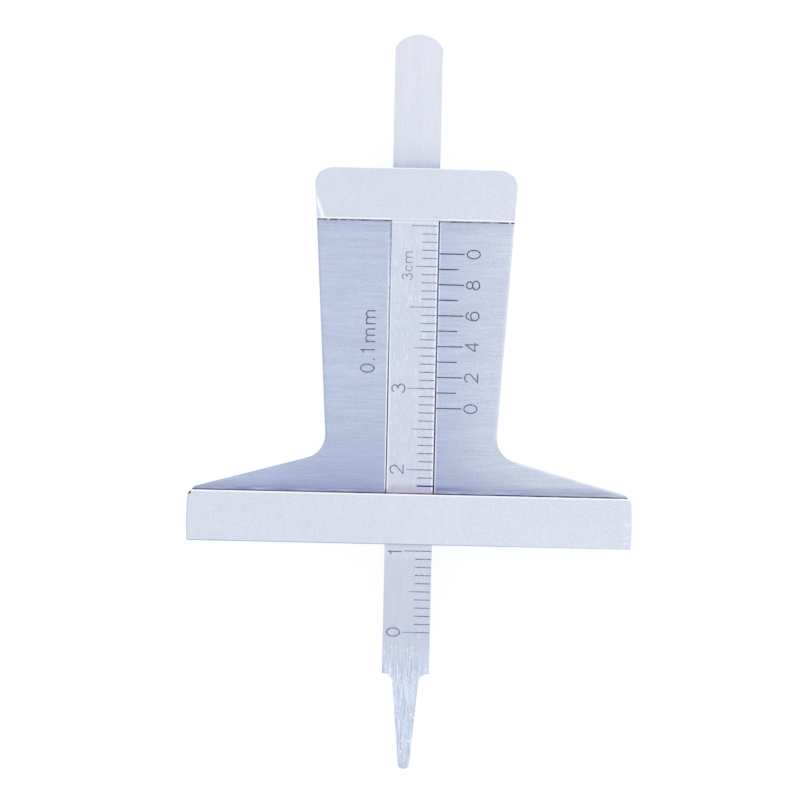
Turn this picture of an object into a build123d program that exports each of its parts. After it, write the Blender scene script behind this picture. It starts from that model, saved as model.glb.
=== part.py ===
"""Vernier depth gauge with a sliding depth blade, in millimetres.

The gauge lies on its back. Z = 0 is the back of the frame and +Z looks out of its front face.
Y = 0 is the measuring face and +Y runs up the blade, away from its point. X = 0 is the middle
of the frame. The blade is drawn out to the reading given by blade_reading.
"""

import os
from math import radians, tan

from build123d import *

# Frame, seen from the front
base_width = 54.7
base_height = 6.2
base_end_crown = 0.12
base_foot_radius = 0.25
end_corner_drop = 0.5
end_corner_rise = 0.4
end_corner_run = 0.85
flare_rise = 4.85
waist_width = 20.8
waist_radius = 3.0
bridge_top_width = 25.1
bridge_height = 6.4
bridge_corner_radius = 2.2
body_height = 46.2
body_edge_break = 0.12

# Front recess between base and bridge, with a grinding relief at the foot of each step
recess_depth = 2.0
step_edge_break = 0.05
relief_width = 0.13
relief_depth = 0.1

# Depth blade
blade_width = 5.8
blade_thickness = 1.5
blade_length = 90.3
blade_dome_height = 1.65
blade_edge_break = 0.04
shoulder_height = 11.7
shoulder_radius = 1.1
point_root_width = 3.38
point_end_width = 1.34
point_end_dome = 0.37

# Fit of the blade: the play beside it, and its clearances before and behind
side_play = 0.24
left_gap = 0.08
bridge_clearance = 0.05
blade_sink = 0.02
rear_clearance = 0.13

# Scales: both zero lines stand at the same height, one above the blade's end, one above the
# measuring face, so the reading is the blade's reach below that face
scale_zero_height = 16.8
main_division = 1.0
main_divisions = 50
vernier_division = 1.9
vernier_divisions = 10
main_line_length = 2.0
main_five_length = 2.7
main_ten_length = 3.4
vernier_line_length = 2.4
vernier_even_length = 3.1
main_line_width = 0.12
vernier_line_width = 0.14
line_depth = 0.04
blade_reading = 27.6

# Rear cover strip
cover_ledge = 3.75
cover_thickness = 1.3
cover_side_gap = 0.05
cover_end_inset = 0.2
cover_sink = 0.05
cover_corner_radius = 0.6
cover_edge_break = 0.1

# Cover screws, M1.6 with slotted countersunk heads, in blind tapped holes
screw_radius = 0.8
screw_hole_radius = 0.9
screw_head_radius = 1.45
screw_head_sink = 0.05
screw_slot_width = 0.4
screw_slot_depth = 0.35
screw_step_distance = 1.5
screw_end_bevel = 0.2
screw_end_room = 0.5
tapped_front_wall = 1.4
drill_point_angle = 118

# Friction spring, a bowed strip in a pocket of the cover
spring_width = 4.0
spring_length = 30.0
spring_thickness = 0.2
spring_foot_length = 2.0
spring_clearance = 0.02
pocket_gap = 0.25
pocket_depth = 0.5

# Levels through the thickness, from the back of the frame
screw_top = cover_sink + screw_head_sink
cover_inner = cover_sink + cover_thickness
pocket_floor = cover_inner - pocket_depth
blade_back = cover_inner + rear_clearance
blade_front = blade_back + blade_thickness
recess_floor = blade_front + blade_sink
channel_top = recess_floor + bridge_clearance
body_thickness = recess_floor + recess_depth
tapped_depth = body_thickness - tapped_front_wall
drill_point_height = screw_radius / tan(radians(drill_point_angle / 2))
screw_length = tapped_depth - screw_end_room - screw_top
spring_rise = blade_back - spring_clearance - spring_thickness - pocket_floor

# Places seen from the front
bridge_edge = body_height - bridge_height
base_end_x = base_width / 2 - base_end_crown
base_end_top = base_height - end_corner_drop
waist_height = base_height + flare_rise
channel_width = blade_width + side_play
blade_middle = left_gap - side_play / 2
cover_width = channel_width + 2 * cover_ledge
cover_length = body_height - 2 * cover_end_inset
cover_middle = body_height / 2
screw_rows = (base_height - screw_step_distance, bridge_edge + screw_step_distance)
screw_columns = ((channel_width + cover_ledge) / -2, (channel_width + cover_ledge) / 2)
screw_places = [(x, y) for y in screw_rows for x in screw_columns]

# Alignment of a solid that stands on the plane it is placed by
FROM_BASE = (Align.CENTER, Align.CENTER, Align.MIN)


def on_both_sides(points):
    """The same points on the right and on the left of the middle plane."""
    return [points, [(-x, y) for x, y in points]]


# Body: the T frame, with its channel, cover seat, tapped holes and engraved vernier
base_end = [(base_end_x, 0), (base_width / 2, base_end_top / 2), (base_end_x, base_end_top)]
flank = [
    (base_end_x, base_end_top),
    (base_width / 2 - end_corner_run, base_height + end_corner_rise),
    (waist_width / 2, waist_height),
    (bridge_top_width / 2, body_height),
]

with BuildPart() as body:
    with BuildSketch() as frame_outline:
        with BuildLine():
            for points in on_both_sides(base_end):
                ThreePointArc(*points)
            for points in on_both_sides(flank):
                Polyline(*points)
            Line((-base_end_x, 0), (base_end_x, 0))
            Line((-bridge_top_width / 2, body_height), (bridge_top_width / 2, body_height))
        make_face()
        fillet(frame_outline.vertices().group_by(Axis.Y)[-2], radius=waist_radius)
        fillet(frame_outline.vertices().group_by(Axis.Y)[-1], radius=bridge_corner_radius)
        fillet(frame_outline.vertices().group_by(Axis.Y)[0], radius=base_foot_radius)
    extrude(amount=body_thickness)
    chamfer(body.edges().group_by(Axis.Z)[0], length=body_edge_break)
    chamfer(body.edges().group_by(Axis.Z)[-1], length=body_edge_break)

    # Front recess, ground straight across between the base and the bridge
    with BuildSketch(Plane.XY.offset(recess_floor)):
        with Locations((0, (base_height + bridge_edge) / 2)):
            Rectangle(base_width, bridge_edge - base_height)
    extrude(amount=recess_depth, mode=Mode.SUBTRACT)
    front_edges = body.edges().group_by(Axis.Z)[-1].filter_by(Axis.X).sort_by(Axis.Y)
    chamfer(front_edges[1:3], length=step_edge_break)

    # Grinding relief along the foot of both steps
    with BuildSketch(Plane.XY.offset(recess_floor - relief_depth)):
        with Locations((0, base_height + relief_width / 2), (0, bridge_edge - relief_width / 2)):
            Rectangle(base_width, relief_width)
    extrude(amount=relief_depth, mode=Mode.SUBTRACT)

    # Blade channel, milled from behind until it opens into the recess
    with BuildSketch():
        with Locations((0, body_height / 2)):
            Rectangle(channel_width, body_height)
    extrude(amount=channel_top, mode=Mode.SUBTRACT)

    # Seat of the rear cover
    with BuildSketch():
        with Locations((0, body_height / 2)):
            Rectangle(cover_width + 2 * cover_side_gap, body_height)
    extrude(amount=cover_inner, mode=Mode.SUBTRACT)

    # Blind tapped holes for the cover screws, with the drill's point at their ends
    with Locations(*screw_places):
        Cylinder(screw_radius, tapped_depth, align=FROM_BASE, mode=Mode.SUBTRACT)
    with Locations(*[(x, y, tapped_depth) for x, y in screw_places]):
        Cone(screw_radius, 0, drill_point_height, align=FROM_BASE, mode=Mode.SUBTRACT)

    # Vernier lines on the right cheek, from the edge of the channel
    with BuildSketch(Plane.XY.offset(recess_floor - line_depth)):
        for line in range(vernier_divisions + 1):
            length = vernier_even_length if line % 2 == 0 else vernier_line_length
            height = scale_zero_height + line * vernier_division
            with Locations((channel_width / 2, height)):
                Rectangle(length, vernier_line_width, align=(Align.MIN, Align.CENTER))
    extrude(amount=line_depth, mode=Mode.SUBTRACT)
body.part.label = "body"

# Depth blade: domed at the top, shouldered and tapered to its point, engraved along one edge
dome_base = blade_length - blade_dome_height
blade_flank = [
    (point_end_width / 2, point_end_dome),
    (point_root_width / 2, shoulder_height),
    (blade_width / 2, shoulder_height),
    (blade_width / 2, dome_base),
]

with BuildPart() as depth_blade:
    with BuildSketch(Plane((blade_middle, -blade_reading, blade_back))) as blade_outline:
        with BuildLine():
            for points in on_both_sides(blade_flank):
                Polyline(*points)
            ThreePointArc((-blade_width / 2, dome_base), (0, blade_length), (blade_width / 2, dome_base))
            ThreePointArc(
                (-point_end_width / 2, point_end_dome), (0, 0), (point_end_width / 2, point_end_dome)
            )
        make_face()
        shoulder_corners = blade_outline.vertices().group_by(Axis.Y)[1].sort_by(Axis.X)
        fillet(shoulder_corners[1:3], radius=shoulder_radius)
    extrude(amount=blade_thickness)
    chamfer(depth_blade.edges().group_by(Axis.Z)[0], length=blade_edge_break)
    chamfer(depth_blade.edges().group_by(Axis.Z)[-1], length=blade_edge_break)

    # Millimetre lines, cut in from the right edge
    with BuildSketch(Plane((blade_middle, -blade_reading, blade_front - line_depth))):
        for line in range(main_divisions + 1):
            length = main_line_length
            if line % 5 == 0:
                length = main_five_length
            if line % 10 == 0:
                length = main_ten_length
            height = scale_zero_height + line * main_division
            with Locations((blade_width / 2, height)):
                Rectangle(length, main_line_width, align=(Align.MAX, Align.CENTER))
    extrude(amount=line_depth, mode=Mode.SUBTRACT)
depth_blade.part.label = "depth_blade"

# Rear cover: a strip with a spring pocket inside and four countersunk holes
with BuildPart() as rear_cover:
    with BuildSketch(Plane.XY.offset(cover_sink)):
        with Locations((0, cover_middle)):
            RectangleRounded(cover_width, cover_length, cover_corner_radius)
    extrude(amount=cover_thickness)
    chamfer(rear_cover.edges().group_by(Axis.Z)[0], length=cover_edge_break)

    with BuildSketch(Plane.XY.offset(pocket_floor)):
        with Locations((0, cover_middle)):
            Rectangle(spring_width + 2 * pocket_gap, spring_length + 2 * pocket_gap)
    extrude(amount=pocket_depth, mode=Mode.SUBTRACT)

    with Locations(*[Location((x, y, cover_sink), (180, 0, 0)) for x, y in screw_places]):
        CounterSinkHole(
            screw_hole_radius,
            screw_head_radius + screw_head_sink,
            depth=cover_thickness,
            counter_sink_angle=90,
        )
rear_cover.part.label = "rear_cover"

# Friction spring: a strip with two flat feet on the pocket's floor, bowed towards the blade
spring_end = spring_length / 2
bow_end = spring_end - spring_foot_length

with BuildPart() as friction_spring:
    with BuildSketch(Plane((0, cover_middle, pocket_floor), x_dir=(0, 1, 0), z_dir=(1, 0, 0))):
        with BuildLine():
            for level in (0, spring_thickness):
                Line((-spring_end, level), (-bow_end, level))
                ThreePointArc((-bow_end, level), (0, level + spring_rise), (bow_end, level))
                Line((bow_end, level), (spring_end, level))
            for end in (-spring_end, spring_end):
                Line((end, 0), (end, spring_thickness))
        make_face()
    extrude(amount=spring_width / 2, both=True)
friction_spring.part.label = "friction_spring"

# One cover screw, from the top of its head to its bevelled end
with BuildPart() as screw:
    with BuildSketch(Plane.XZ):
        with BuildLine():
            Polyline(
                (0, 0),
                (screw_head_radius, 0),
                (screw_radius, screw_head_radius - screw_radius),
                (screw_radius, screw_length - screw_end_bevel),
                (screw_radius - screw_end_bevel, screw_length),
                (0, screw_length),
                close=True,
            )
        make_face()
    revolve(axis=Axis.Z)
    Box(
        2 * screw_head_radius,
        screw_slot_width,
        screw_slot_depth,
        align=FROM_BASE,
        mode=Mode.SUBTRACT,
    )

# Cover screws: four alike, their slots left wherever they came tight
slot_turns = (20, 75, 130, 160)
with BuildPart() as cover_screws:
    for (x, y), turn in zip(screw_places, slot_turns):
        with Locations(Location((x, y, screw_top), (0, 0, turn))):
            add(screw.part)
cover_screws.part.label = "cover_screws"

os.makedirs("parts", exist_ok=True)
for piece in (body, depth_blade, rear_cover, friction_spring, cover_screws):
    export_step(piece.part, f"parts/{piece.part.label}.step")
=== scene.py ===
from math import cos, pi, radians, sin, tau

import bmesh
import bpy
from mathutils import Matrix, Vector


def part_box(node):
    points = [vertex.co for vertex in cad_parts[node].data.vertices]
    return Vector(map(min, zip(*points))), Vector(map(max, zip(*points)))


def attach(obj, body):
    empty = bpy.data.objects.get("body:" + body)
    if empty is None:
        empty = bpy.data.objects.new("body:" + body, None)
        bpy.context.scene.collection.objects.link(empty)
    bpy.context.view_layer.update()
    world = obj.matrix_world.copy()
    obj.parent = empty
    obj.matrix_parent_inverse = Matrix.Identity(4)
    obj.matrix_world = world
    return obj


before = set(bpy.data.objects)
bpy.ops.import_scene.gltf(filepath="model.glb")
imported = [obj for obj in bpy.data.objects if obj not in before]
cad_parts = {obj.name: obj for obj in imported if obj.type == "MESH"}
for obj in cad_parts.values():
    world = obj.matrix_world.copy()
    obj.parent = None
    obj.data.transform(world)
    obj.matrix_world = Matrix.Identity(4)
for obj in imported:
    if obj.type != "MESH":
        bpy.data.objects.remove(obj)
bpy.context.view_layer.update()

# The frame is one T-shaped block of hardened stainless steel: measuring base, two cheeks and a bridge.
# Base and bridge were lapped, which leaves them pale and nearly plain. The recess between them was
# ground from side to side, and coolant has dried brown in the reliefs at the foot of its two steps.
MM = 0.001
base_step = 6.2
bridge_step = 39.8
relief_width = 0.13
highlight_width = 0.17
channel_half = 3.02
blade_lean = 0.005


def colour(code):
    """An sRGB hex colour as the linear one that a shader takes."""
    parts = [int(code[i : i + 2], 16) / 255 for i in (1, 3, 5)]
    return [p / 12.92 if p <= 0.04045 else ((p + 0.055) / 1.055) ** 2.4 for p in parts] + [1]


def add(tree, kind, inputs=(), **settings):
    """Adds a node and returns its first live output. Each input is a value, or the output that feeds
    the socket. They go to the sockets in their order, or by identifier where they are a dictionary."""
    made = tree.nodes.new(kind)
    for name, value in settings.items():
        setattr(made, name, value)
    sockets = {socket.identifier: socket for socket in made.inputs}
    named = inputs if isinstance(inputs, dict) else dict(zip(sockets, inputs))
    for name, value in named.items():
        if isinstance(value, bpy.types.NodeSocket):
            tree.links.new(value, sockets[name])
        else:
            sockets[name].default_value = value
    return next((socket for socket in made.outputs if socket.enabled), None)


def surface(name):
    """A new material's node tree, with the place on the piece in millimetres and the way it faces."""
    material = bpy.data.materials.new(name)
    material.use_nodes = True
    tree = material.node_tree
    tree.nodes.clear()
    coordinates = add(tree, "ShaderNodeTexCoord").node.outputs
    place = add(
        tree,
        "ShaderNodeVectorMath",
        {"Vector": coordinates["Object"], "Scale": 1 / MM},
        operation="SCALE",
    )
    facing = add(tree, "ShaderNodeSeparateXYZ", [coordinates["Normal"]]).node.outputs
    return material, tree, place, facing


def marks(tree, place, size, start, weak, strong, detail=2.0, turn=0.0):
    """Tool marks of a size given as (x, y, z) in millimetres, as a factor from weak to strong."""
    laid = add(
        tree,
        "ShaderNodeMapping",
        {
            "Vector": place,
            "Location": (start, 3 * start, 7 * start),
            "Rotation": (0, 0, turn),
            "Scale": size,
        },
        vector_type="TEXTURE",
    )
    noise = add(tree, "ShaderNodeTexNoise", {"Vector": laid, "Scale": 1.0, "Detail": detail})
    return add(
        tree,
        "ShaderNodeMapRange",
        {"Value": noise, "From Min": 0.25, "From Max": 0.75, "To Min": weak, "To Max": strong},
    )


def region(tree, *limits, share=1.0):
    """The share within all the limits, and 0 outside them. A limit is a value, its low and its high,
    and the width over which it fades at each."""
    for value, low, high, fade in limits:
        for edge, side in ((low, 0.5), (high, -0.5)):
            share = add(
                tree,
                "ShaderNodeMapRange",
                {
                    "Value": value,
                    "From Min": edge - side * fade,
                    "From Max": edge + side * fade,
                    "To Max": share,
                },
                interpolation_type="SMOOTHSTEP",
            )
    return share


def layered(tree, tint, *layers):
    """The tint with each layer laid over it. A layer is its share, from 0 to 1, and its own tint."""
    for share, over in layers:
        tint = add(
            tree,
            "ShaderNodeMix",
            {"Factor_Float": share, "A_Color": tint, "B_Color": over},
            data_type="RGBA",
        )
    return tint


def ground(tree, place, tints, bloom, *grains):
    """The look of ground steel: a bloom that wanders between two tints, crossed by each set of marks.
    A set is its size as (x, y, z) in millimetres, and how much darker and lighter it is."""
    tint = layered(tree, tints[0], (marks(tree, place, bloom, 3.7, 0.0, 1.0), tints[1]))
    for i, (size, depth) in enumerate(grains):
        grain = marks(tree, place, size, 1.3 + 2.9 * i, 1 - depth, 1 + depth)
        tint = add(
            tree,
            "ShaderNodeVectorMath",
            {"Vector": tint, "Scale": grain},
            operation="SCALE",
        )
    return tint


def ground_frame_steel():
    """Ground stainless steel. Its grit marks are a few hundredths of a millimetre wide, and are drawn
    about four times as wide so that they show."""
    material, tree, place, facing = surface("stainless steel, ground")
    x, y, z = add(tree, "ShaderNodeSeparateXYZ", [place]).node.outputs
    from_middle = add(tree, "ShaderNodeMath", [x], operation="ABSOLUTE")
    up = (facing["Z"], 0.9, 2.0, 0.1)
    slanted = (facing["Z"], 0.4, 0.9, 0.1)
    on_cheek = (z, 2.5, 3.6, 0.2)
    on_land = (z, 4.8, 6.0, 0.1)
    white = colour("#fafdff")

    # Milled sides, a ground back, lapped lands, and ground cheeks with a painted sheen that makes them
    # lighter on the right
    across = region(tree, (x, 0.0, 99.0, 40.0))
    sides = ground(
        tree,
        place,
        (colour("#ccd3e6"), colour("#d2d9ea")),
        (2.0, 2.0, 2.0),
        ((6.0, 6.0, 0.15), 0.06),
    )
    back = ground(
        tree,
        place,
        (colour("#c6cbe0"), colour("#c3d3e5")),
        (0.65, 0.2, 1.0),
        ((0.24, 0.17, 1.0), 0.07),
        ((5.0, 0.18, 1.0), 0.08),
        ((30.0, 1.1, 1.0), 0.03),
    )
    lands = ground(
        tree,
        place,
        (
            layered(tree, colour("#dbdaea"), (across, colour("#dfddec"))),
            layered(tree, colour("#d5e0ed"), (across, colour("#d8e2ef"))),
        ),
        (0.6, 0.32, 1.0),
        ((0.17, 0.3, 1.0), 0.07),
        ((0.3, 2.6, 1.0), 0.02),
        ((7.0, 4.0, 1.0), 0.015),
    )
    # Painted sheen: the cheeks grow lighter to the right of the blade.
    painted_sheen_right = region(tree, (x, 7.0, 99.0, 9.0))
    cheeks = ground(
        tree,
        place,
        (
            layered(tree, colour("#c4c2dc"), (painted_sheen_right, colour("#d0cee3"))),
            layered(tree, colour("#b8cee4"), (painted_sheen_right, colour("#c9daea"))),
        ),
        (0.65, 0.2, 1.0),
        ((0.24, 0.17, 1.0), 0.09),
        ((3.5, 0.18, 1.0), 0.08),
        ((22.0, 1.1, 1.0), 0.035),
    )

    # A dried film where wiping never reaches, with painted shade from the base's step, both thickening
    # towards the base
    film_and_shade = ground(
        tree,
        place,
        (colour("#8786b2"), colour("#8297bd")),
        (1.5, 0.2, 1.0),
        ((5.0, 0.22, 1.0), 0.2),
    )
    violet = colour("#7472a0")
    film_and_shade_patches = marks(tree, place, (8.0, 0.4, 1.0), 2.2, -0.05, 0.8)
    pale = marks(tree, place, (4.0, 0.4, 1.0), 5.9, -0.4, 0.8)
    foot = base_step + relief_width
    head = bridge_step - relief_width
    darkest_near_base = (y, 0.0, base_step + 2.2, 7.0)
    # The film layers and the violet band at the foot of the base are dried film and painted shade of the
    # step together.
    cheeks = layered(
        tree,
        cheeks,
        (region(tree, (y, 0.0, base_step + 9.8, 12.0), (x, -14.0, 8.5, 10.0), share=0.2), film_and_shade),
        (region(tree, darkest_near_base, (x, -21.0, 0.0, 16.0), share=0.55), film_and_shade),
        (region(tree, darkest_near_base, (x, 0.0, 14.0, 6.0), share=0.36), film_and_shade),
        (region(tree, (y, 0.0, base_step + 0.9, 1.4), (x, 2.0, 22.0, 4.0), share=0.34), film_and_shade),
        (region(tree, (y, 0.0, base_step + 0.8, 1.3), (x, -60.0, 25.0, 6.0), share=film_and_shade_patches), violet),
        # Painted highlight: thin pale lines on the cheeks beside the foot relief and beside the head
        # relief.
        (region(tree, (y, foot, foot + 0.3, 0.1), share=pale), colour("#cdd6ea")),
        (region(tree, (y, head - 0.4, head, 0.06), share=pale), colour("#d3d8eb")),
    )

    # Edges of the cheeks: a painted highlight beside the blade, painted shade along its left side, a
    # painted highlight along the right flank and the flare, and painted shade along the left flank
    right_of_flank = add(tree, "ShaderNodeMath", [y, -0.0612, x], operation="MULTIPLY_ADD")
    left_of_flank = add(tree, "ShaderNodeMath", [y, 0.0612, x], operation="MULTIPLY_ADD")
    above_flare = add(tree, "ShaderNodeMath", [from_middle, 0.2764, y], operation="MULTIPLY_ADD")
    painted_light_breaks = marks(tree, place, (1.0, 2.5, 1.0), 4.1, 0.5, 1.3)
    leaning = add(tree, "ShaderNodeMath", [y, blade_lean, x], operation="MULTIPLY_ADD")
    above_foot = (y, base_step + 0.5, 60.0, 0.3)
    broken_shade = marks(tree, place, (1.0, 0.25, 1.0), 5.2, -0.8, 1.4)
    bright = colour("#f0f6ff")
    shaded = colour("#8584b0")
    # Painted highlights beside the blade and on the right flank and flare; painted shade left of the blade
    # and on the left flank.
    cheeks = layered(
        tree,
        cheeks,
        (region(tree, (leaning, -3.1, -2.98, 0.03), (y, -10.0, 36.0, 10.0), above_foot), bright),
        (region(tree, (leaning, -2.98, 0.0, 0.02), (x, -99.0, 0.0, 0.1), share=broken_shade), shaded),
        (region(tree, (x, channel_half, channel_half + 0.1, 0.03), share=painted_light_breaks), bright),
        (region(tree, (right_of_flank, 9.5, 9.9, 0.4), (y, 12.8, 60.0, 1.0), share=0.3), white),
        (region(tree, (left_of_flank, -9.9, -9.5, 0.1), (y, 12.8, 60.0, 1.0), share=0.25), film_and_shade),
        (region(tree, (above_flare, 13.72, 14.4, 0.3), (x, 12.8, 30.0, 1.0), share=0.4), white),
    )

    # Edges of the lands: the broken outline, painted lighter or darker by the way its chamfers face;
    # painted highlights along the step edges; and strokes left by a dressing stone, painted as highlights
    outline = layered(
        tree,
        colour("#c0cee8"),
        (region(tree, (x, 0.0, 99.0, 60.0)), colour("#e6ebf6")),
        (region(tree, (facing["Y"], -2.0, -0.3, 0.2), (x, -99.0, 20.0, 60.0)), colour("#b0c0dc")),
        (region(tree, (y, bridge_step, 43.8, 0.4), share=0.8), colour("#e8eff8")),
        (region(tree, (facing["Y"], 0.3, 2.0, 0.2), (y, 45.5, 60.0, 0.5)), colour("#f3f6fb")),
    )
    dressed_highlight_left = add(tree, "ShaderNodeMath", [y, 0.364, x], operation="MULTIPLY_ADD")
    dressed_highlight_right = marks(tree, place, (0.6, 0.12, 1.0), 6.1, -1.0, 0.8, 1.0, radians(50))
    lands = layered(
        tree,
        lands,
        (region(tree, (y, bridge_step, 60.0, 1.0), (x, -60.0, 6.0, 8.0), share=0.15), colour("#c6d3e3")),
        (region(tree, (dressed_highlight_left, 2.94, 3.4, 0.36), (y, 39.6, 42.6, 1.2), share=0.85), white),
        (region(tree, (x, 26.3, 29.0, 0.3), (y, 0.3, 4.2, 0.8), share=dressed_highlight_right), white),
    )
    # Painted highlights along the land edges at both steps, and on the bridge's wall above the blade.
    at_bridge = (y, bridge_step - 0.1, bridge_step + highlight_width, 0.04)
    bridge_wall = (y, bridge_step - 0.1, bridge_step + 0.05, 0.02)
    over_blade = (from_middle, -1.0, channel_half, 0.1)
    steel = layered(
        tree,
        sides,
        (region(tree, (facing["Z"], -2.0, -0.9, 0.1)), back),
        (region(tree, up, on_cheek), cheeks),
        (region(tree, up, on_land), lands),
        (region(tree, slanted, on_land), outline),
        (region(tree, on_land, (y, base_step - highlight_width, base_step + 0.1, 0.04)), white),
        (region(tree, on_land, at_bridge, share=0.45), white),
        (region(tree, on_land, at_bridge, (from_middle, channel_half, 99.0, 0.1)), white),
        (region(tree, (z, 2.9, 4.9, 0.1), bridge_wall, over_blade), white),
        # Painted shade: a dark notch at the upper left corner of the base.
        (region(tree, on_land, (x, -30.0, -26.85, 0.1), (y, 5.7, 6.3, 0.1)), colour("#3f3a68")),
    )

    # What has dried in the two reliefs, with two burrs across the upper one, and the oil on the walls
    # of the blade's channel. The oil is painted shade of the gaps beside the blade as well, paler on the
    # left towards the bridge.
    sunk = (z, 1.5, 2.985, 0.01)
    in_foot = (y, base_step - 0.01, foot, 0.02)
    in_head = (y, head, bridge_step + 0.01, 0.02)
    patchy = marks(tree, place, (1.2, 0.3, 1.0), 6.6, 0.35, 1.25, 3.0)
    broken = marks(tree, place, (0.5, 0.3, 1.0), 1.6, -0.1, 1.5, 3.0)
    thinned = marks(tree, place, (1.0, 0.5, 1.0), 7.4, 0.2, 0.9, 3.0)
    # Dark oil that is also painted shade of the gaps beside the blade.
    oil = layered(
        tree,
        colour("#23223f"),
        (region(tree, (x, -99.0, 0.0, 0.1), (y, 22.0, 60.0, 30.0), share=thinned), colour("#aaaccc")),
    )
    steel = layered(
        tree,
        steel,
        (region(tree, sunk, in_foot, share=patchy), colour("#3e2a66")),
        (region(tree, sunk, in_foot, (x, -99.0, -9.5, 2.0), share=0.6), colour("#8a80b0")),
        (region(tree, sunk, in_head, share=broken), colour("#80364e")),
        (region(tree, sunk, in_head, (x, -10.9, -10.6, 0.1)), white),
        (region(tree, sunk, in_head, (x, 11.45, 11.7, 0.1)), white),
        (region(tree, sunk, (from_middle, 2.9, channel_half + 0.03, 0.02)), oil),
    )

    shader = add(
        tree,
        "ShaderNodeBsdfPrincipled",
        {
            "Base Color": steel,
            "Metallic": 1.0,
            "Roughness": marks(tree, place, (0.5, 0.5, 0.5), 9.9, 0.34, 0.44),
            "Normal": add(
                tree,
                "ShaderNodeBump",
                {
                    "Height": marks(tree, place, (3.0, 0.17, 1.0), 1.3, 0.0, 1.0),
                    "Strength": 1.0,
                    "Distance": 0.003 * MM,
                },
            ),
        },
    )
    add(tree, "ShaderNodeOutputMaterial", {"Surface": shader})
    return material


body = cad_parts["body"]
body.material_slots[0].material = ground_frame_steel()

# The vernier is engraved on the right cheek: eleven lines 1.9 mm apart, cut into the steel and filled
# black. Its numerals, and the reading on the left cheek, are one-stroke letters etched black, and
# stand a few thousandths proud of the ground face.
cheek_level = 3.0
vernier_line_width = 0.14
fill_drop = 0.008
etch_height = 0.004
scale_zero = 16.8
vernier_division = 1.9
vernier_divisions = 10
vernier_line_length = 2.4
vernier_even_length = 3.1


def arc(middle_x, middle_y, across, up, start, end, steps=14):
    """Points along part of an oval, from one angle to another in degrees."""
    angles = [radians(start + (end - start) * i / steps) for i in range(steps + 1)]
    return [(middle_x + across * cos(a), middle_y + up * sin(a)) for a in angles]


# Each letter is a list of strokes in a box one unit wide and one high. A stroke that ends where it
# starts is a ring.
arch = arc(0.25, 0.70, 0.25, 0.30, 180, 0, 8) + [(0.5, 0.0)]
letters = {
    "0": [arc(0.5, 0.5, 0.5, 0.5, 0, 360, 28)],
    "1": [[(0.75, 0.0), (0.75, 1.0)], arc(0.0, 1.0, 0.75, 0.2, 0, -90, 8)],
    "2": [arc(0.5, 0.70, 0.48, 0.30, 165, -35) + [(0.0, 0.0)], [(0.0, 0.0), (1.0, 0.0)]],
    "3": [
        arc(0.46, 0.77, 0.42, 0.23, 150, -90),
        arc(0.46, 0.27, 0.52, 0.27, 90, -155),
    ],
    "4": [[(0.78, 0.0), (0.78, 1.0)], [(0.78, 1.0), (0.0, 0.26)], [(0.0, 0.26), (1.0, 0.26)]],
    "6": [arc(0.5, 0.32, 0.5, 0.32, 0, 360, 24), arc(0.52, 0.40, 0.52, 0.60, 175, 42)],
    "8": [arc(0.5, 0.76, 0.42, 0.24, 0, 360, 20), arc(0.5, 0.27, 0.5, 0.27, 0, 360, 24)],
    ".": [[(0.0, 0.0), (0.0, 1.0)]],
    "c": [arc(0.5, 0.5, 0.5, 0.5, 42, 318, 18)],
    "m": [[(0.0, 0.0), (0.0, 1.0)], arch, [(x + 0.5, y) for x, y in arch]],
}


def sweep(mesh, path, width, low, high, round_ends=True):
    """A flat bar of that width along a path in millimetres, closed on all sides."""
    points = [Vector(p) for p in path]
    ring = (points[0] - points[-1]).length < 1e-6
    if ring:
        points = points[:-1]
    count = len(points)
    stations = []
    for i, point in enumerate(points):
        before = points[i - 1] if i or ring else point
        after = points[(i + 1) % count] if i < count - 1 or ring else point
        stations.append((point, (after - before).normalized(), width / 2))
    if round_ends and not ring:
        turns = [radians(a) for a in (30, 60, 82)]
        first, first_way, half = stations[0]
        last, last_way, half = stations[-1]
        start = [(first - first_way * half * sin(a), first_way, half * cos(a)) for a in reversed(turns)]
        end = [(last + last_way * half * sin(a), last_way, half * cos(a)) for a in turns]
        stations = start + stations + end
    sections = []
    for point, way, half in stations:
        side = Vector((-way.y, way.x)) * half
        corners = [(point + side, high), (point - side, high), (point - side, low), (point + side, low)]
        sections.append([mesh.verts.new(Vector((p.x, p.y, z)) * MM) for p, z in corners])
    pairs = list(zip(sections, sections[1:]))
    if ring:
        pairs.append((sections[-1], sections[0]))
    else:
        mesh.faces.new(sections[0])
        mesh.faces.new(sections[-1])
    for one, other in pairs:
        for i in range(4):
            j = (i + 1) % 4
            mesh.faces.new((one[i], one[j], other[j], other[i]))


def letter(mesh, name, baseline, left, height, width, stroke, level):
    """A letter that reads up the scale: its right is +Y and its top is -X. Sizes are its outer ones."""
    for lift, path in enumerate(letters[name]):
        placed = [
            (
                baseline - stroke / 2 - v * (height - stroke),
                left + stroke / 2 + u * (width - stroke),
            )
            for u, v in path
        ]
        top = level + etch_height + 0.0005 * lift
        sweep(mesh, placed, stroke, level - 0.02, top)


def settled(name, mesh, material, carrier):
    """The finished mesh as a piece of that material, riding on the frame or the blade."""
    bmesh.ops.recalc_face_normals(mesh, faces=mesh.faces)
    data = bpy.data.meshes.new(name)
    mesh.to_mesh(data)
    mesh.free()
    data.materials.append(material)
    piece = bpy.data.objects.new(name, data)
    bpy.context.scene.collection.objects.link(piece)
    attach(piece, carrier)
    return piece


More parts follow.
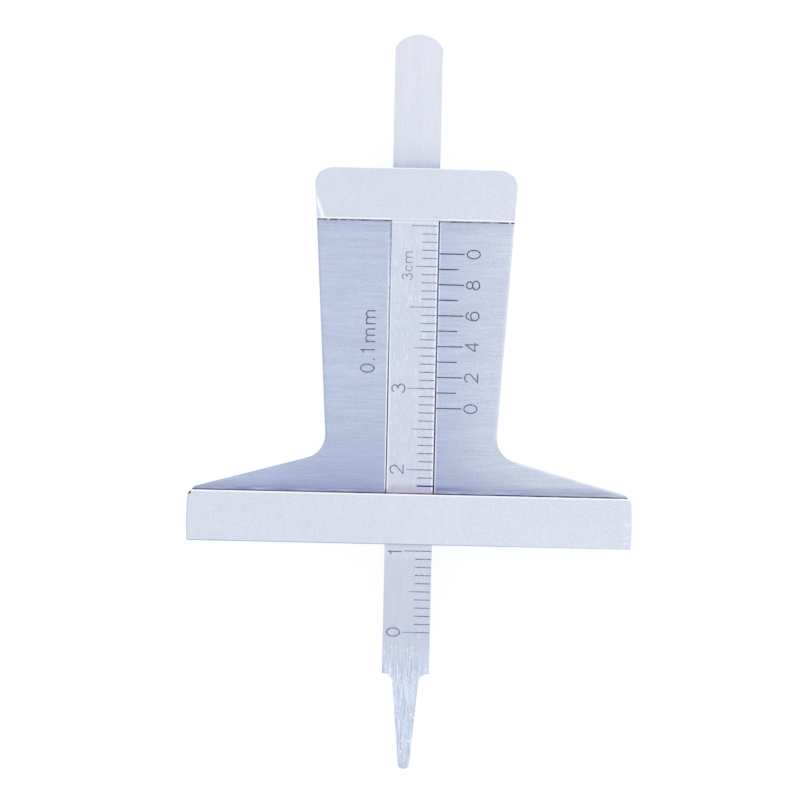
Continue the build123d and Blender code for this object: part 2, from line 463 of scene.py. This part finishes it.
def filling(name, dark, worn, worn_share, *patches):
    """What fills a mark or a gap, dark or worn thin by turns. A patch is its own colour, the limits by
    axis that it keeps to, and its least share there."""
    material, tree, place, facing = surface(name)
    axes = dict(zip("xyz", add(tree, "ShaderNodeSeparateXYZ", [place]).node.outputs))
    thin = marks(tree, place, (0.35, 0.35, 1.0), 3.3, worn_share - 0.8, worn_share + 0.8, 4.0)
    tint = layered(tree, colour(dark), (thin, colour(worn)))
    for code, axis, low, high, fade, least in patches:
        share = marks(tree, place, (0.8, 0.8, 1.0), 5.7, least, 1.1)
        tint = layered(tree, tint, (region(tree, (axes[axis], low, high, fade), share=share), colour(code)))
    shader = add(
        tree,
        "ShaderNodeBsdfPrincipled",
        {
            "Base Color": tint,
            "Metallic": 0.0,
            "Roughness": marks(tree, place, (0.2, 0.2, 1.0), 1.1, 0.5, 0.75),
            "IOR": 1.5,
        },
    )
    add(tree, "ShaderNodeOutputMaterial", {"Surface": shader})
    return material


lines = bmesh.new()
for i in range(vernier_divisions + 1):
    line_y = scale_zero + i * vernier_division
    length = vernier_line_length if i % 2 else vernier_even_length
    ends = [(channel_half + 0.002, line_y), (channel_half + length + 0.01, line_y)]
    sweep(lines, ends, vernier_line_width + 0.02, cheek_level - 0.06, cheek_level - fill_drop, False)
line_black = filling(
    "black oxide, filled into the vernier",
    "#261a5c",
    "#5c5498",
    0.25,
    ("#716ca2", "y", 10.0, 28.0, 5.0, 0.3),
    ("#1a1050", "y", 31.0, 60.0, 1.0, 0.5),
    ("#74406c", "x", 4.8, 6.3, 0.8, 0.2),
)
settled("vernier_lines", lines, line_black, "frame")

letter_black = filling(
    "black oxide, etched into the frame",
    "#4c4486",
    "#9a96c4",
    0.3,
    ("#8a84b8", "y", 10.0, 28.0, 6.0, 0.0),
    ("#7c5890", "y", 28.0, 40.0, 3.0, -0.5),
)
letter_height = 1.75
vernier_baseline = 8.1
letter_width = 1.2
letter_stroke = 0.15
numerals = bmesh.new()
for i in range(0, vernier_divisions + 1, 2):
    left = scale_zero + i * vernier_division - letter_width / 2
    letter(
        numerals,
        str(i % 10),
        vernier_baseline,
        left,
        letter_height,
        letter_width,
        letter_stroke,
        cheek_level,
    )
settled("vernier_numerals", numerals, letter_black, "frame")

reading_baseline = -4.66
reading_start = 21.0
reading_height = 1.8
reading_low_height = 1.22
reading = bmesh.new()
for name, left, width, height in (
    ("0", 0.0, 1.13, reading_height),
    (".", 1.58, 0.16, 0.24),
    ("1", 2.42, 0.6, reading_height),
    ("m", 3.76, 1.7, reading_low_height),
    ("m", 5.95, 1.74, reading_low_height),
):
    letter(
        reading,
        name,
        reading_baseline,
        reading_start + left,
        height,
        width,
        letter_stroke,
        cheek_level,
    )
settled("least_reading", reading, letter_black, "frame")

# The depth blade is a strip of hardened stainless steel, ground and then drawn over a belt along its
# length, so its grain runs up it and coarsens on the hand-dressed point. It slides in the frame's
# channel, and a painted highlight runs beside each of its two edges.
blade_level = 2.98
blade_low, blade_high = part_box("depth_blade")
blade_left = blade_low.x / MM
blade_right = blade_high.x / MM
blade_end = blade_low.y / MM
shoulder = blade_end + 11.7


def ground_blade_steel():
    """Belt-ground stainless steel. Its scratches are drawn about four times as wide as real ones."""
    material, tree, place, facing = surface("stainless steel, belt ground")
    x, y, z = add(tree, "ShaderNodeSeparateXYZ", [place]).node.outputs
    # Painted light: the rule's tints grow lighter from the shoulder towards its top end.
    along = add(tree, "ShaderNodeMapRange", {"Value": y, "From Min": shoulder, "From Max": 60.0})
    white = colour("#fafdff")
    rule = ground(
        tree,
        place,
        (
            layered(tree, colour("#cccadf"), (along, colour("#e3dfed"))),
            layered(tree, colour("#c3d2e4"), (along, colour("#d9e3ee"))),
        ),
        (0.6, 0.32, 1.0),
        ((0.17, 0.18, 1.0), 0.07),
        ((0.17, 4.0, 1.0), 0.035),
        ((0.9, 30.0, 3.0), 0.015),
    )
    point = ground(
        tree,
        place,
        (colour("#d1cfe9"), colour("#c8dfed")),
        (0.2, 1.6, 1.0),
        ((0.14, 3.0, 1.0), 0.3),
        ((0.17, 0.25, 1.0), 0.12),
    )
    flanks = ground(
        tree,
        place,
        (colour("#c8cee1"), colour("#ced6e7")),
        (2.0, 2.0, 2.0),
        ((6.0, 6.0, 0.12), 0.08),
    )
    glints = marks(tree, place, (0.14, 0.35, 1.0), 8.8, -12.0, 1.2, 0.0)
    glinting = marks(tree, place, (1.1, 1.7, 1.0), 4.6, -1.4, 1.4)
    painted_light_breaks = marks(tree, place, (1.0, 1.5, 1.0), 2.7, 0.6, 1.4)
    painted_shade_streaks = marks(tree, place, (0.25, 6.0, 1.0), 7.7, 0.2, 1.1)
    wiped = marks(tree, place, (0.2, 0.9, 1.0), 3.6, -1.1, 0.8)
    in_window = (y, base_step, bridge_step + 0.3, 0.4)
    on_edge = (facing["Z"], 0.4, 0.9, 0.1)
    leaning = add(tree, "ShaderNodeMath", [y, blade_lean, x], operation="MULTIPLY_ADD")
    above_foot = (y, base_step + 0.5, 60.0, 0.3)
    beside_left = (leaning, -2.77, -2.65, 0.03)
    beside_right = (x, blade_right - 0.24, blade_right - 0.08, 0.03)
    bright = colour("#f0f6ff")
    steel = layered(
        tree,
        rule,
        (region(tree, (y, -99.0, shoulder + 2.0, 6.0)), point),
        (region(tree, (y, -99.0, shoulder + 3.0, 4.0), (glinting, 0.2, 9.0, 0.4), share=glints), white),
        # Painted shade: the blade is a little darker inside the frame's window.
        (region(tree, (y, base_step, bridge_step, 4.0), share=0.1), colour("#b6c6e4")),
        (region(tree, (y, 22.0, 39.0, 8.0), share=0.12), colour("#b6c6e4")),
        (region(tree, in_window, share=wiped), colour("#e0e9fb")),
        # Painted light: a paler strip just below the base.
        (region(tree, (y, -1.7, 0.5, 1.2), share=0.45), colour("#dfe3f3")),
        (region(tree, on_edge), colour("#cfdcef")),
        # Painted shade on the blade's edge chamfers beside the gaps in the window, darker on the left.
        (region(tree, on_edge, in_window, (x, 0.0, 9.0, 0.1)), colour("#9494c4")),
        (region(tree, on_edge, in_window, (x, -9.0, 0.0, 0.1), (y, -99.0, 16.0, 20.0)), colour("#6a68a0")),
        # Painted highlight: a pale line across the blade at the bridge's lower edge.
        (region(tree, (y, bridge_step - 0.32, bridge_step + 0.1, 0.3), share=0.6), colour("#f6f9ff")),
        # Painted shade of the bridge: a streaked darker band on the blade just above it.
        (region(tree, (y, 45.0, 46.9, 1.1), share=painted_shade_streaks), colour("#a4a8c8")),
        (region(tree, (y, 44.0, 48.6, 3.0), share=0.6), colour("#c9d1e4")),
        # Painted shade of the base's step: a violet smudge and a broken dark line across the blade at its
        # foot.
        (region(tree, (y, base_step, 7.2, 1.3), share=0.7), colour("#b6adca")),
        (region(tree, (y, base_step, base_step + 0.15, 0.05), share=painted_light_breaks), colour("#7b7096")),
        # Painted highlights beside the blade's left and right edges.
        (region(tree, above_foot, (y, -99.0, 36.0, 12.0), beside_left, share=painted_light_breaks), bright),
        (region(tree, above_foot, in_window, beside_right, share=painted_light_breaks), bright),
        (region(tree, (y, 7.1, 7.3, 0.05), (x, 0.84, 9.0, 0.05), share=0.75), colour("#4a3580")),
        (region(tree, (facing["Z"], -0.4, 0.4, 0.1)), flanks),
    )
    shader = add(
        tree,
        "ShaderNodeBsdfPrincipled",
        {
            "Base Color": steel,
            "Metallic": 1.0,
            "Roughness": marks(tree, place, (0.3, 4.0, 1.0), 5.3, 0.3, 0.4),
            "Normal": add(
                tree,
                "ShaderNodeBump",
                {
                    "Height": marks(tree, place, (0.17, 4.0, 1.0), 4.2, 0.0, 1.0),
                    "Strength": 1.0,
                    "Distance": 0.003 * MM,
                },
            ),
        },
    )
    add(tree, "ShaderNodeOutputMaterial", {"Surface": shader})
    return material


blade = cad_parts["depth_blade"]
blade.material_slots[0].material = ground_blade_steel()

# Oil and dust have dried on the channel's two walls, and close the gaps beside the blade to a hair.
# Their colour is also the gaps' painted shade, darkest at the base's step, with painted highlights: on the
# left they are paler towards the bridge, and on the right a pale line runs along the wall.
gap_clearance = 0.01
oil_thickness = 0.4
oil_end = 0.02


def dried_oil(name, wall, near, drop, material):
    """Oil and painted gap shade on a wall of the channel, as far as the blade lets it come near, and that
    far below it.
    """
    middle = (wall + near) / 2
    ends = [(middle, base_step + oil_end), (middle, bridge_step - oil_end)]
    top = blade_level - drop
    dried = bmesh.new()
    sweep(dried, ends, abs(wall - near), top - oil_thickness, top, False)
    settled(name, dried, material, "frame")


dried_oil(
    "left_gap_oil_and_shade",
    -channel_half,
    blade_left - gap_clearance,
    0.02,
    filling(
        "dried oil and painted gap shade, pale",
        "#100e56",
        "#6c6ab0",
        0.3,
        ("#e9edff", "y", 25.0, 60.0, 16.0, 0.6),
        ("#0a085c", "y", 0.0, 16.0, 8.0, 0.2),
        ("#06041a", "y", 6.0, 7.2, 0.8, 0.8),
    ),
)
dried_oil(
    "right_gap_oil_and_shade",
    channel_half,
    blade_right + gap_clearance,
    0.04,
    filling(
        "dried oil and painted gap shade, dark",
        "#2a2a5c",
        "#9498d2",
        0.4,
        ("#0e0e50", "y", 0.0, 18.0, 8.0, 0.5),
        ("#dfe6ff", "x", channel_half - 0.05, 9.0, 0.02, 0.9),
        ("#0c0a20", "y", 6.0, 7.4, 0.8, 0.8),
    ),
)

# The blade's own scale is fifty engraved millimetres, each tenth one numbered and lengthened. It was
# etched paler than the vernier, and its unit near the top is fainter still.
main_zero = -10.8
main_divisions = 50
main_lengths = {0: 3.4, 5: 2.7}
main_line_length = 2.0
main_line_width = 0.12
rule_black = filling(
    "black oxide, filled into the blade",
    "#6a67a2",
    "#b4b9dc",
    0.48,
    ("#a3a6cf", "y", 24.0, 60.0, 6.0, 0.3),
    ("#bcc0e0", "y", 36.6, 60.0, 2.0, 0.4),
    ("#bcc2de", "x", -9.0, blade_right - main_line_length - 0.05, 0.1, 0.3),
    # Painted highlight along the blade's right edge, then painted shade of the base's step, over the filled
    # lines.
    ("#e9eff9", "x", blade_right - 0.16, 9.0, 0.04, 0.3),
    ("#241456", "y", 6.0, 7.5, 0.3, 0.9),
)
lines = bmesh.new()
for i in range(main_divisions + 1):
    line_y = main_zero + i
    length = main_lengths.get(i % 10, main_line_length)
    ends = [(blade_right - 0.002, line_y), (blade_right - length - 0.01, line_y)]
    sweep(lines, ends, main_line_width + 0.02, blade_level - 0.06, blade_level - fill_drop, False)
settled("main_scale_lines", lines, rule_black, "blade")

main_black = filling("black oxide, etched into the blade", "#7476b0", "#b4bade", 0.4)
main_baseline = -0.8
main_letter_width = 1.18
main_stroke = 0.16
numerals = bmesh.new()
for i in range(4):
    middle = main_zero + 10 * i
    width = 0.6 if i == 1 else main_letter_width
    left = middle - 0.5 if i == 1 else middle - main_letter_width / 2
    letter(numerals, str(i), main_baseline, left, letter_height, width, main_stroke, blade_level)
settled("main_scale_numerals", numerals, main_black, "blade")

unit_black = filling("black oxide, etched thin", "#8489ba", "#bcc4e0", 0.4)
unit_baseline = -0.24
unit_stroke = 0.12
unit_start = 32.52
unit = bmesh.new()
for name, left, width, height in (("3", 0.0, 0.85, 1.31), ("c", 1.05, 0.85, 0.92), ("m", 2.08, 1.4, 0.92)):
    letter(unit, name, unit_baseline, unit_start + left, height, width, unit_stroke, blade_level)
settled("main_scale_unit", unit, unit_black, "blade")

# The rear cover is a strip of rolled stainless steel, let into the back of the frame over the blade's
# channel. Its face is as the rolling mill left it, with a faint lengthwise grain, and oil has crept
# over its inner side, darkened further as painted shade of the gaps beside the blade.
oil_level = 1.2


def rolled_strip(name, tint, pale_tint, smoothest, roughest):
    """Cold-rolled strip, smoother than ground steel and a little greyer, dark with oil and painted shade on
    its inner side.
    """
    material, tree, place, facing = surface(name)
    x, y, z = add(tree, "ShaderNodeSeparateXYZ", [place]).node.outputs
    steel = ground(
        tree,
        place,
        (colour(tint), colour(pale_tint)),
        (3.0, 3.0, 3.0),
        ((0.2, 9.0, 1.0), 0.06),
        ((1.2, 1.2, 1.2), 0.03),
    )
    # Oil and painted shade on the inner side.
    oil_and_shade = region(tree, (facing["Z"], 0.5, 2.0, 0.2), (z, oil_level, 9.0, 0.05))
    shader = add(
        tree,
        "ShaderNodeBsdfPrincipled",
        {
            "Base Color": layered(tree, steel, (oil_and_shade, colour("#4c4d60"))),
            "Metallic": 1.0,
            "Roughness": marks(tree, place, (0.6, 5.0, 1.0), 3.1, smoothest, roughest),
            "Normal": add(
                tree,
                "ShaderNodeBump",
                {
                    "Height": marks(tree, place, (0.2, 9.0, 1.0), 1.3, 0.0, 1.0),
                    "Strength": 1.0,
                    "Distance": 0.003 * MM,
                },
            ),
        },
    )
    add(tree, "ShaderNodeOutputMaterial", {"Surface": shader})
    return material


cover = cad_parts["rear_cover"]
cover.material_slots[0].material = rolled_strip(
    "stainless steel, cold rolled",
    "#c3c9da",
    "#c9d1df",
    0.28,
    0.38,
)

# Four M1.6 countersunk screws hold the cover. They are turned from bright stainless bar, so each head
# carries fine rings about its own middle, and its slot is sawn.
screw_across = 4.895
screw_middle = 23.0
screw_spread = 18.3


def turned_steel():
    """Turned stainless steel. The tool's feed is drawn 0.12 mm a turn, about twice the real one."""
    material, tree, place, facing = surface("stainless steel, turned")
    x, y, z = add(tree, "ShaderNodeSeparateXYZ", [place]).node.outputs
    across = add(tree, "ShaderNodeMath", [x], operation="ABSOLUTE")
    from_middle = add(tree, "ShaderNodeMath", [y, screw_middle], operation="SUBTRACT")
    along = add(tree, "ShaderNodeMath", [from_middle], operation="ABSOLUTE")
    spot = add(tree, "ShaderNodeCombineXYZ", [across, along])
    radius = add(
        tree,
        "ShaderNodeVectorMath",
        {"Vector": spot, "Vector_001": (screw_across, screw_spread, 0.0)},
        operation="DISTANCE",
    )
    turns = add(tree, "ShaderNodeMath", [radius, tau / 0.12], operation="MULTIPLY")
    rings = add(tree, "ShaderNodeMath", [turns], operation="SINE")
    shine = add(
        tree,
        "ShaderNodeMapRange",
        {"Value": rings, "From Min": -1.0, "From Max": 1.0, "To Min": 0.93, "To Max": 1.04},
    )
    steel = ground(
        tree,
        place,
        (colour("#c2c6d1"), colour("#c8ccd6")),
        (1.0, 1.0, 1.0),
        ((0.8, 0.8, 0.8), 0.07),
    )
    shader = add(
        tree,
        "ShaderNodeBsdfPrincipled",
        {
            "Base Color": add(
                tree,
                "ShaderNodeVectorMath",
                {"Vector": steel, "Scale": shine},
                operation="SCALE",
            ),
            "Metallic": 1.0,
            "Roughness": marks(tree, place, (0.3, 0.3, 0.3), 6.4, 0.24, 0.34),
            "Normal": add(tree, "ShaderNodeBump", {"Height": rings, "Distance": 0.004 * MM}),
        },
    )
    add(tree, "ShaderNodeOutputMaterial", {"Surface": shader})
    return material


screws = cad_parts["cover_screws"]
screws.material_slots[0].material = turned_steel()

# The friction spring is a bowed leaf of blued spring steel in a pocket of the cover. It is blued by
# tempering, and only its edges show when the cover is off.
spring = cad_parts["friction_spring"]
spring.material_slots[0].material = rolled_strip(
    "spring steel, tempered",
    "#8a90a2",
    "#9197a6",
    0.3,
    0.4,
)

# A pale floor under a light tent. The tent has bright panels overhead and at its four sides, and is
# dimmer at its seams, which draws the corners of the steel. The lens looks straight down.
floor_half = 3.0


def seen(tree):
    """Is this ray one that sees the tent or the floor as they look: straight, mirrored or through?"""
    path = add(tree, "ShaderNodeLightPath").node.outputs
    straight = add(
        tree,
        "ShaderNodeMath",
        [path["Is Camera Ray"], path["Is Transmission Ray"]],
        operation="MAXIMUM",
    )
    return add(tree, "ShaderNodeMath", [straight, path["Is Glossy Ray"]], operation="MAXIMUM")


def pale_floor():
    """White acrylic sheet. It glows by itself to the lens, so that only a trace of shadow shows."""
    material, tree, place, facing = surface("acrylic sheet, satin white")
    lit = add(tree, "ShaderNodeBsdfDiffuse", {"Color": colour("#f4f4f4")})
    strength = add(tree, "ShaderNodeMath", [seen(tree), 1.16], operation="MULTIPLY")
    glow = add(tree, "ShaderNodeEmission", {"Color": (1, 1, 1, 1), "Strength": strength})
    shader = add(tree, "ShaderNodeMixShader", {"Fac": 0.75, "Shader": lit, "Shader_001": glow})
    add(tree, "ShaderNodeOutputMaterial", {"Surface": shader})
    return material


sheet = bmesh.new()
bmesh.ops.create_grid(sheet, x_segments=1, y_segments=1, size=floor_half)
data = bpy.data.meshes.new("floor")
sheet.to_mesh(data)
sheet.free()
data.materials.append(pale_floor())
floor = bpy.data.objects.new("floor", data)
bpy.context.scene.collection.objects.link(floor)


def light_tent():
    """The tent's walls, as bright as white to the lens. Mirrored in steel they are dimmer at the seams,
    and a little brighter to the right and towards the top of the gauge."""
    world = bpy.data.worlds.new("light tent")
    world.use_nodes = True
    tree = world.node_tree
    tree.nodes.clear()
    direction = add(tree, "ShaderNodeTexCoord").node.outputs["Generated"]
    ways = add(
        tree,
        "ShaderNodeSeparateXYZ",
        [add(tree, "ShaderNodeVectorMath", [direction], operation="ABSOLUTE")],
    ).node.outputs
    widest = add(tree, "ShaderNodeMath", [ways["X"], ways["Y"]], operation="MAXIMUM")
    widest = add(tree, "ShaderNodeMath", [widest, ways["Z"]], operation="MAXIMUM")
    panel = add(tree, "ShaderNodeMath", [widest, 3.0], operation="POWER")
    panel = add(tree, "ShaderNodeMath", [panel, 0.5, 0.596], operation="MULTIPLY_ADD")
    lean = add(
        tree,
        "ShaderNodeVectorMath",
        [direction, (0.1, 0.06, 0.0)],
        operation="DOT_PRODUCT",
    )
    wall = add(tree, "ShaderNodeMath", [panel, lean], operation="ADD")
    path = add(tree, "ShaderNodeLightPath").node.outputs
    mirrored = add(tree, "ShaderNodeMath", [path["Is Glossy Ray"], wall], operation="MULTIPLY")
    spread = add(tree, "ShaderNodeMath", [path["Is Diffuse Ray"], 0.62], operation="MULTIPLY")
    straight = add(
        tree,
        "ShaderNodeMath",
        [path["Is Camera Ray"], path["Is Transmission Ray"]],
        operation="MAXIMUM",
    )
    brightness = add(tree, "ShaderNodeMath", [mirrored, spread], operation="MAXIMUM")
    brightness = add(tree, "ShaderNodeMath", [brightness, straight], operation="MAXIMUM")
    wall = add(tree, "ShaderNodeBackground", {"Color": (1, 1, 1, 1), "Strength": brightness})
    add(tree, "ShaderNodeOutputWorld", {"Surface": wall})
    return world


bpy.context.scene.world = light_tent()


def softbox(name, place, side, brightness):
    """A square lamp aimed at the gauge. A brightness of 1 is as bright as the white background."""
    lamp = bpy.data.lights.new(name, "AREA")
    lamp.size = side
    lamp.energy = brightness * pi * side**2
    box = bpy.data.objects.new(name, lamp)
    box.location = place
    box.rotation_euler = (-Vector(place)).to_track_quat("-Z", "Y").to_euler()
    box.visible_camera = False
    bpy.context.scene.collection.objects.link(box)


softbox("key_softbox", (0.25, 0.75, 0.45), 0.6, 0.35)
softbox("fill_softbox", (-0.7, -0.3, 0.6), 0.6, 0.35)

sensor = 36.0
lens_length = 250.0
field_width = 98.34 * MM
aim = Vector((-1.45 * MM, 17.73 * MM, 3.0 * MM))
roll = radians(1.28)
lens = bpy.data.cameras.new("camera")
lens.lens = lens_length
lens.sensor_width = sensor
lens.clip_start = 0.01
lens.clip_end = 20.0
camera = bpy.data.objects.new("camera", lens)
camera.location = aim + Vector((0, 0, field_width * lens_length / sensor))
camera.rotation_euler = (0, 0, roll)
bpy.context.scene.collection.objects.link(camera)
bpy.context.scene.camera = camera
bpy.context.scene.view_settings.view_transform = "Standard"
